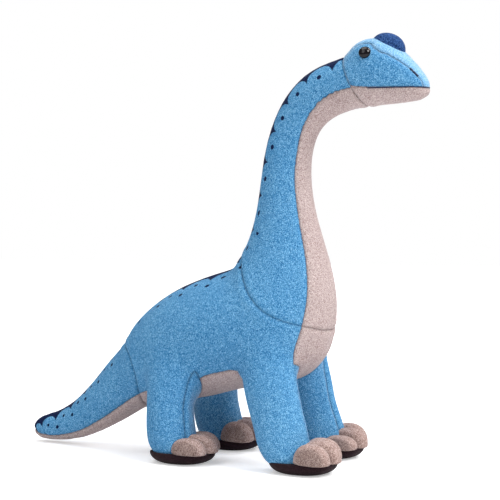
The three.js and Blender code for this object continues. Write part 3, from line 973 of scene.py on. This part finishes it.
bpy.data.objects.remove(hull)
for name in sorted(set(label)):
    panel = makePanel(name + "_cloth", triangles[label == name])
    if name in ("belly_gusset", "neck_front", "tail_underside", "chin"):
        attach(panel, name, pale)
    elif name == "head_top":
        # the head top takes the finish with the painted highlight
        attach(panel, name, litTopBlue)
    else:
        ridged = "side" in name and not name.startswith("head")
        attach(panel, name, bluePrinted if ridged else blue)
print("panels made")


# fibre filling

stuffing = {"voxel": 0.005, "weld": 0.00005, "rounds": 3, "shrink": 1.2, "fill": 0.9}


def fibreFinish():
    finish = Finish("fibre")
    strands = finish.noise(900, 4.0, 0.7)
    clumps = finish.noise(120, 2.0, 0.5)
    tone = finish.speckle(strands.between(0.3, 0.7), (214, 214, 208), (246, 246, 242))
    finish.set(
        Base_Color=finish.mix(clumps.between(0.3, 0.7) * 0.3, tone, linear(226, 222, 210)),
        Normal=finish.bump(strands * 0.4 + clumps, 0.002, 0.8),
        Roughness=1.0,
    )
    finish.set(Sheen_Weight=0.3, Sheen_Roughness=0.5)
    return finish.material


fibre = fibreFinish()


def makeWad(node):
    # a filling's CAD solid with its facets worn away, and drawn in a little
    made = addObject(node + "_wad", frame["nodes"][node].data.copy())
    made = applied(made, "WELD", merge_threshold=stuffing["weld"])
    made = applied(made, "REMESH", mode="VOXEL", voxel_size=stuffing["voxel"], use_smooth_shade=True)
    places = pointsOf(made.data)
    places = relax(places, edgesOf(made.data), np.full(len(places), 0.6), stuffing["rounds"])
    places = places - normalsOf(places, trianglesOf(made.data)) * stuffing["shrink"] * mm
    moveTo(made, places)
    made.data.materials.clear()
    return made


for node in sorted(frame["nodes"]):
    if node.startswith("fill_"):
        attach(makeWad(node), node, fibre)
print("filling made")


# feet

toe = {
    "rows": 20,
    "round": 40,
    "low": 3.0,  # mm from the sole to the widest part
    "wide": 11.2,  # half width, mm
    "apart": 16.0,  # mm from toe to toe
    "footMiddle": 50.0,  # mm from the middle of the toy to the middle of a foot
    "below": 0.2,  # how round it is below and above its widest part, 1 is an ellipse
    "above": 0.8,
    "square": 0.88,  # 1 is an ellipse seen from above
    "fan": 7.0,  # degrees the outer toes turn away from the middle one
    "turn": 6.0,  # degrees that each foot turns to the left
    "skew": 0.22,  # mm that a toe stands back for each mm to the left
    "long": (18.5, 20.5, 19.0),  # half lengths, mm, from the right toe to the left
    "shift": (0.5, 4.5, 3.5),  # mm further forward
    "rise": {  # mm higher
        "front_right": (0.3, 1.6, 1.4), "front_left": (-5.5, 0.2, 2.5),
        "hind_right": (-3.0, -1.6, -1.2), "hind_left": (0.8, 1.6, 1.4),
    },
    "ripple": 0.35,  # mm
    "wave": 0.006,
    # painted shade in the creases between toes and where a toe meets the sole
    "crease": 8.6,  # mm from the middle of a toe to the cloth between two toes
    "creaseShadeWidth": 1.2,
    "soleCreaseShade": 1.0,
    "fill": 0.9,
}
sole = {  # mm
    "top": 10.8,
    "long": 33.0,  # half length and half width at the top
    "wide": 26.5,
    "inset": 18.0,  # from the edge to where it lies on the floor
    "narrowing": 0.7,  # share of the inset at the sides of the foot
    "flat": 5.0,
    "lip": ((1.5, 0.5), (12.0, 0.5)),  # inset and height over the top, where it turns in
    "rows": 14,
    "round": 72,
    "square": 0.85,
    "fill": 0.8,
}


def curvedPower(value, power):
    return np.sign(value) * np.abs(value) ** power


def closedRings(name, rings):
    # closed mesh over rings of frame points, with a point at each end
    count = len(rings[0])
    ends = [rings[0].mean(axis=0), rings[-1].mean(axis=0)]
    places = np.vstack(rings + [ends])
    faces = ringFaces(rings)
    first, last = len(places) - 2, len(places) - 1
    top = (len(rings) - 1) * count
    for j in range(count):
        k = (j + 1) % count
        faces.append((first, k, j))
        faces.append((last, top + j, top + k))
    return addMesh(name, places.tolist(), faces)


def ripple(made, size, wave):
    # slow unevenness of a hand-stuffed piece
    places = pointsOf(made.data)
    x, y, z = (places[:, i] / wave for i in range(3))
    waves = np.sin(x + 1.3 * y) + np.sin(1.7 * y - z + 2.1) + np.sin(1.1 * z + 0.8 * x + 4.2)
    places += normalsOf(places, trianglesOf(made.data)) * (size * mm * waves / 3)[:, None]
    moveTo(made, places)
    return places


def makeToe(leg, node):
    low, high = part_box(node)
    middleY = (low[1] + high[1]) / 2
    away = middleY - legs[leg]["side"] * toe["footMiddle"] * mm
    rank = 1 + int(round(away / (toe["apart"] * mm)))  # 0 for the right toe, 2 for the left
    turn = math.radians(toe["fan"]) * (rank - 1)
    turn += math.radians(toe["turn"])
    up = high[2] - (sole["top"] + toe["low"] - toe["rise"][leg][rank]) * mm
    long = toe["long"][rank] * mm
    front = high[0] - long + toe["shift"][rank] * mm - away * toe["skew"]
    rings = []
    around = fullTurn(toe["round"])
    for lift in np.linspace(-1, 1, toe["rows"] + 2)[1:-1] * math.pi / 2:
        reach = np.cos(lift) ** (toe["below"] if lift < 0 else toe["above"])
        height = np.sin(lift) * (toe["low"] * mm if lift < 0 else up)
        flatX = long * reach * curvedPower(np.cos(around), toe["square"])
        flatY = toe["wide"] * mm * reach * curvedPower(np.sin(around), toe["square"])
        x = flatX * math.cos(turn) - flatY * math.sin(turn)
        y = flatX * math.sin(turn) + flatY * math.cos(turn)
        z = np.full(len(around), sole["top"] * mm + toe["low"] * mm + height)
        rings.append(np.stack([front + x, middleY + y, z], axis=1))
    made = closedRings(node + "_pad", rings)
    places = ripple(made, toe["ripple"], toe["wave"])
    # painted shade in the creases between toes and along the sole, kept as the seam attribute that
    # the toe finish darkens by
    aside = np.abs(places[:, 1] - middleY) / mm
    over = places[:, 2] / mm - sole["top"]
    crease = bell(np.minimum(aside - toe["crease"], 0), toe["creaseShadeWidth"])
    crease = np.maximum(crease, bell(over, toe["soleCreaseShade"]))
    made.data.attributes.new("seam", "FLOAT", "POINT").data.foreach_set("value", crease)
    return made


def soleFinish():
    finish = Finish("soleCloth")
    grain = finish.noise(900, 3.0, 0.6)
    nap = finish.noise(90, 2.0, 0.5)
    tone = finish.speckle(grain.between(0.25, 0.8), (18, 7, 12), (56, 33, 40))
    finish.set(
        Base_Color=finish.mix(nap.between(0.3, 0.8) * 0.5, tone, linear(40, 23, 30)),
        Roughness=(0.95 - grain * 0.1),
        Normal=finish.bump(grain + nap * 0.6, 0.0006, 0.7),
    )
    finish.set(Sheen_Weight=0.06, Sheen_Roughness=0.5, Specular_IOR_Level=0.15)
    return finish.material


def makeSole(node):
    low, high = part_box(node)
    middleX, middleY = (low[0] + high[0]) / 2, (low[1] + high[1]) / 2
    around = fullTurn(sole["round"])
    rows = [(sole["inset"] + sole["flat"], 0.0)]
    for angle in np.linspace(0, 1, sole["rows"]) * math.pi / 2:
        # the cloth curves in under the foot
        rows.append((sole["inset"] * (1 - math.sin(angle)), sole["top"] * (1 - math.cos(angle))))
    rows += [(inset, sole["top"] + over) for inset, over in sole["lip"]]
    rings = []
    for inset, z in rows:
        x = (sole["long"] - inset) * mm * curvedPower(np.cos(around), sole["square"])
        wide = sole["wide"] - inset * sole["narrowing"]
        y = wide * mm * curvedPower(np.sin(around), sole["square"])
        rings.append(np.stack([middleX + x, middleY + y, np.full(len(around), z * mm)], axis=1))
    return closedRings(node + "_pad", rings)


soleCloth = soleFinish()
for leg in legs:
    for place in ("inner", "middle", "outer"):
        node = "toe_" + leg + "_" + place
        attach(makeToe(leg, node), node, toeCloth)
    node = "sole_" + leg
    attach(makeSole(node), node, soleCloth)
print("feet made")


# crest

crest = {
    "at": (129, 403.5),  # mm
    "long": 17.5,  # half sizes, mm
    "wide": 13.0,
    "high": 12.8,
    "tilt": 0.5,  # radians, front end down
    "round": 0.9,  # 1 is an ellipse
    "ripple": 0.5,  # mm
    "wave": 0.005,
    "rows": 28,
    "points": 56,
    "fill": 0.9,
}


def makeCrest():
    around = fullTurn(crest["points"])
    middle = onFrame(crest["at"][0], 0, crest["at"][1])
    ahead, down = math.cos(crest["tilt"]), math.sin(crest["tilt"])
    rings = []
    for lift in np.linspace(-1, 1, crest["rows"] + 2)[1:-1] * math.pi / 2:
        reach = math.cos(lift) ** crest["round"]
        x = crest["long"] * mm * reach * np.cos(around)
        y = crest["wide"] * mm * reach * np.sin(around)
        z = np.full(len(around), crest["high"] * mm * math.sin(lift))
        rings.append(middle + np.stack([x * ahead + z * down, y, z * ahead - x * down], axis=1))
    made = closedRings("head_crest_pad", rings)
    ripple(made, crest["ripple"], crest["wave"])
    return made


attach(makeCrest(), "head_crest", navy)


# eyes

eye = {
    "radius": 6.0,  # mm
    "proud": 4.5,  # from the front of the CAD eye back to the bead's middle
    "dome": 4.6,
    "rim": 0.7,
    "sink": 1.2,
    "shank": 1.8,
    "shankEnd": 9.0,
    "up": 0.5,  # radians its face looks up, and forward
    "forward": 0.15,
    "round": 64,
}


def glossFinish():
    finish = Finish("eyeGloss")
    swirl = finish.noise(300, 1.0, 0.4)
    finish.set(
        Base_Color=finish.speckle(swirl.between(0.3, 0.7), (10, 9, 12), (24, 20, 24)),
        Roughness=(swirl * 0.04 + 0.05),
        Coat_Weight=0.2,
    )
    finish.set(Coat_Roughness=0.03, Specular_IOR_Level=0.22)
    return finish.material


def washerFinish():
    finish = Finish("washerPlastic")
    flow = finish.noise(240, 3.0, 0.5)
    finish.set(
        Base_Color=finish.speckle(flow, (224, 224, 216), (238, 238, 232)),
        Roughness=(flow * 0.15 + 0.4),
        Normal=finish.bump(flow, 0.0002, 0.4),
    )
    return finish.material


def eyeProfile():
    # radius and height, from the end of the shank to the front of the dome
    radius, dome, rim = eye["radius"], eye["dome"], eye["rim"]
    shank, end, sink = eye["shank"], -eye["shankEnd"], -eye["sink"]
    rows = [(shank * 0.7, end), (shank, end + 0.8), (shank, sink - 0.4)]  # its end is chamfered
    rows += [(radius * 0.7, sink - 0.2), (radius - rim * 0.4, sink)]
    rows += [(radius, sink + rim * 0.5), (radius, 0.0)]
    for share in np.linspace(0, 1, 18)[1:-1]:
        rows.append((radius * math.cos(share * math.pi / 2), dome * math.sin(share * math.pi / 2)))
    return rows


def makeEye(side, node):
    outward = Vector((math.sin(eye["forward"]), side * math.cos(eye["forward"]) * math.cos(eye["up"]),
                      math.sin(eye["up"]))).normalized()
    corners = np.array([corner.co for corner in frame["nodes"][node].data.vertices])
    tip = corners[(corners @ np.array(outward)).argmax()]
    at = Vector(tip) - outward * eye["proud"] * mm
    turn = outward.to_track_quat("Z", "Y").to_matrix()
    around = fullTurn(eye["round"])
    rings = []
    for radius, height in eyeProfile():
        flat = (radius * np.cos(around), radius * np.sin(around), np.full(len(around), height))
        rings.append(np.array(at) + np.stack(flat, axis=1) @ np.array(turn).T * mm)
    return closedRings(node + "_bead", rings)


eyeGloss = glossFinish()
washerPlastic = washerFinish()
for name, side in (("left", 1), ("right", -1)):
    bead = makeEye(side, "eye_" + name)
    bead.data.materials.append(eyeGloss)
    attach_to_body(bead, "head")
    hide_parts("eye_" + name)
    washer = frame["nodes"]["eye_washer_" + name]
    washer.data.materials.clear()
    washer.data.materials.append(washerPlastic)
print("head details made")


# stitches

stitch = {  # mm
    "mouth": {"spacing": 1.15, "long": 2.0, "thick": 1.15},
    "nostril": {"spacing": 0.62, "long": 2.6, "thick": 1.0},
}


def threadFinish():
    finish = Finish("thread")
    twist = finish.noise(1800, 2.0, 0.6)
    finish.set(
        Base_Color=finish.speckle(twist.between(0.3, 0.7), (14, 22, 54), (34, 44, 84)),
        Roughness=(0.75 - twist * 0.2),
        Normal=finish.bump(twist, 0.0002, 0.6),
    )
    finish.set(Sheen_Weight=0.2, Specular_IOR_Level=0.35)
    return finish.material


thread = threadFinish()


def stitchTree():
    # a rounded stitch at even steps along a line, lying the way its "lie" vectors point
    tree = bpy.data.node_groups.new("stitchLine", "GeometryNodeTree")
    face = tree.interface
    face.new_socket("Line", in_out="INPUT", socket_type="NodeSocketGeometry")
    sizes = (("Spacing", 0.001), ("Long", 0.002), ("Thick", 0.0008), ("Unevenness", 0.12))
    for name, value in sizes:
        face.new_socket(name, in_out="INPUT", socket_type="NodeSocketFloat").default_value = value
    face.new_socket("Thread", in_out="INPUT", socket_type="NodeSocketMaterial")
    face.new_socket("Stitches", in_out="OUTPUT", socket_type="NodeSocketGeometry")
    given = tree.nodes.new("NodeGroupInput")
    result = tree.nodes.new("NodeGroupOutput")

    def add(kind, links=None, **settings):
        made = tree.nodes.new(kind)
        for name, value in settings.items():
            setattr(made, name, value)
        for name, source in (links or {}).items():
            if isinstance(source, bpy.types.NodeSocket):
                tree.links.new(source, made.inputs[name])
            else:
                made.inputs[name].default_value = source
        return made

    line = add("GeometryNodeMeshToCurve", {"Mesh": given.outputs["Line"]})
    even = add("GeometryNodeResampleCurve", {
        "Curve": line.outputs[0], "Length": given.outputs["Spacing"],
    }, mode="LENGTH")
    bead = add("GeometryNodeMeshUVSphere", {"Segments": 8, "Rings": 6, "Radius": 0.5})
    smooth = add("GeometryNodeSetShadeSmooth", {"Geometry": bead.outputs[0]})
    lie = add("GeometryNodeInputNamedAttribute", {"Name": "lie"}, data_type="FLOAT_VECTOR")
    turn = add("FunctionNodeAlignRotationToVector", {"Vector": lie.outputs["Attribute"]}, axis="X")
    size = add("ShaderNodeCombineXYZ", {
        "X": given.outputs["Long"], "Y": given.outputs["Thick"], "Z": given.outputs["Thick"],
    })
    low = add("ShaderNodeMath", {0: 1.0, 1: given.outputs["Unevenness"]}, operation="SUBTRACT")
    chance = add("FunctionNodeRandomValue", {
        2: low.outputs[0], 3: 1.0, "Seed": 5,  # the least and the most, as numbers
    }, data_type="FLOAT")
    uneven = add("ShaderNodeVectorMath", {
        0: size.outputs[0], "Scale": chance.outputs[1],
    }, operation="SCALE")
    placed = add("GeometryNodeInstanceOnPoints", {
        "Points": even.outputs[0], "Instance": smooth.outputs[0],
        "Rotation": turn.outputs[0], "Scale": uneven.outputs[0],
    })
    real = add("GeometryNodeRealizeInstances", {"Geometry": placed.outputs[0]})
    dyed = add("GeometryNodeSetMaterial", {
        "Geometry": real.outputs[0], "Material": given.outputs["Thread"],
    })
    tree.links.new(dyed.outputs[0], result.inputs[0])
    return tree


stitches = stitchTree()


def sew(name, line, lies, kind):
    # stitches along a line of points, with the way a stitch lies at each point
    mesh = bpy.data.meshes.new(name)
    mesh.from_pydata(line.tolist(), [(i, i + 1) for i in range(len(line) - 1)], [])
    lie = mesh.attributes.new("lie", "FLOAT_VECTOR", "POINT")
    lie.data.foreach_set("vector", lies.ravel().astype(np.float32))
    made = addObject(name, mesh)
    modifier = made.modifiers.new("stitches", "NODES")
    modifier.node_group = stitches
    sizes = {size.capitalize(): value * mm for size, value in stitch[kind].items()}
    sizes["Thread"] = thread
    for item in stitches.interface.items_tree:
        if item.in_out == "INPUT" and item.name in sizes:
            modifier[item.identifier] = sizes[item.name]
    return settled(made, modifier)


surface = BVHTree.FromPolygons(points.tolist(), triangles.tolist())


def onCloth(x, z, side, proud):
    # a point some mm over the cloth, found from one side, and the way the cloth faces there
    start = Vector(onFrame(x, side * 200, z))
    hit, normal, _, _ = surface.ray_cast(start, Vector((0, -side, 0)))
    if normal.y * side < 0:
        normal = -normal
    return np.array(hit + normal * proud * mm), np.array(normal)


def tangents(line):
    along = np.gradient(line, axis=0)
    return along / np.linalg.norm(along, axis=1)[:, None]


mouth = {"z": 363.6, "from": 117, "to": 168.5, "bendBack": 8, "bendSpan": 1.1, "proud": 0.25}
nostril = {"at": (158.6, 377.0), "slant": (3.3, -3.5), "proud": 0.9}


def mouthPath():
    # along the right of the muzzle, round its front and back along the left
    xs = np.linspace(mouth["from"], mouth["to"], 40)
    right, left = (np.array([onCloth(x, mouth["z"], side, mouth["proud"])[0] for x in xs])
                   for side in (-1, 1))
    centre = Vector(onFrame(mouth["to"] - mouth["bendBack"], 0, mouth["z"]))
    bend = []
    for angle in np.linspace(-1, 1, 15)[1:-1] * mouth["bendSpan"]:
        edge = Vector((math.cos(angle), math.sin(angle), 0))
        hit = surface.ray_cast(centre + edge * 0.1, -edge)[0]
        bend.append(np.array(hit + edge * mouth["proud"] * mm))
    return np.vstack([right, bend, left[::-1]])


path = mouthPath()
line = sew("mouth_line_thread", path, tangents(path), "mouth")
attach(line, "mouth_line")
for name, side in (("left", 1), ("right", -1)):
    rows = []
    for share in np.linspace(-1, 1, 9):
        x = nostril["at"][0] + share * nostril["slant"][0]
        z = nostril["at"][1] + share * nostril["slant"][1]
        rows.append(onCloth(x, z, side, nostril["proud"]))
    path = np.array([row[0] for row in rows])
    lies = np.cross(tangents(path), np.array([row[1] for row in rows]))  # across the line
    line = sew("nostril_" + name + "_thread", path, lies, "nostril")
    attach(line, "nostril_" + name)
print("stitches made")


# floor, light

light = {
    "world": 0.22,
    "backdrop": 1.0,
    "floor": 1.1,  # glow of the floor far away, and its share near the toy
    "nearGlow": 0.36,
    "glowFrom": 0.35,  # metres
    "glowTo": 1.6,
    "aim": (0, 0, 0.18),
    "key": {"place": (1.65, -0.35, 1.55), "size": 0.9, "power": 31},
    "rim": {"place": (1.0, 1.2, 1.7), "size": 1.0, "power": 24},
    "top": {"place": (-0.2, -0.1, 2.0), "size": 1.4, "power": 17},
    "fill": {"place": (-0.3, -1.7, 1.6), "size": 1.5, "power": 16},
}


def paperFinish():
    # pale paper that glows more with distance, so that it meets the backdrop without a line
    finish = Finish("floorPaper")
    paper = finish.noise(6, 2.0, 0.5)
    seen = finish.node("ShaderNodeLightPath", output="Is Camera Ray")
    away = finish.node("ShaderNodeVectorMath", {"operation": "LENGTH"}, [finish.place()], output=1)
    grow = away.between(light["glowFrom"], light["glowTo"]) * (1 - light["nearGlow"])
    glow = seen * (grow + light["nearGlow"])
    finish.set(
        Base_Color=finish.speckle(paper, (247, 247, 248), (250, 250, 251)),
        Roughness=0.9,
        Emission_Color=finish.mix(glow, (0, 0, 0, 1), (1, 1, 1, 1)),
        Emission_Strength=light["floor"],
    )
    return finish.material


floorHalf = 6  # metres
corners = [(x * floorHalf, y * floorHalf, 0) for x, y in ((-1, -1), (1, -1), (1, 1), (-1, 1))]
floor = addMesh("floor", corners, [(0, 1, 2, 3)], smooth=False)
floor.data.materials.append(paperFinish())


def makeLight(name):
    settings = light[name]
    data = bpy.data.lights.new(name, "AREA")
    data.size = settings["size"]
    data.energy = settings["power"]
    lamp = addObject(name, data)
    lamp.location = settings["place"]
    aim = Vector(light["aim"]) - lamp.location
    lamp.rotation_euler = aim.to_track_quat("-Z", "Y").to_euler()


def makeWorld():
    # a bright backdrop whose light on the toy is softer than it looks
    world = bpy.data.worlds.new("studio")
    world.use_nodes = True
    nodes, links = world.node_tree.nodes, world.node_tree.links
    seen = nodes["Background"]
    seen.inputs["Color"].default_value = (1, 1, 1, 1)
    seen.inputs["Strength"].default_value = light["backdrop"]
    cast = nodes.new("ShaderNodeBackground")
    cast.inputs["Strength"].default_value = light["world"]
    ray = nodes.new("ShaderNodeLightPath")
    both = nodes.new("ShaderNodeMixShader")
    links.new(ray.outputs["Is Camera Ray"], both.inputs["Fac"])
    links.new(cast.outputs[0], both.inputs[1])
    links.new(seen.outputs[0], both.inputs[2])
    links.new(both.outputs[0], nodes["World Output"].inputs["Surface"])
    bpy.context.scene.world = world


for name in ("key", "rim", "top", "fill"):
    makeLight(name)
makeWorld()
bpy.context.scene.view_settings.view_transform = "Standard"
print("studio made")
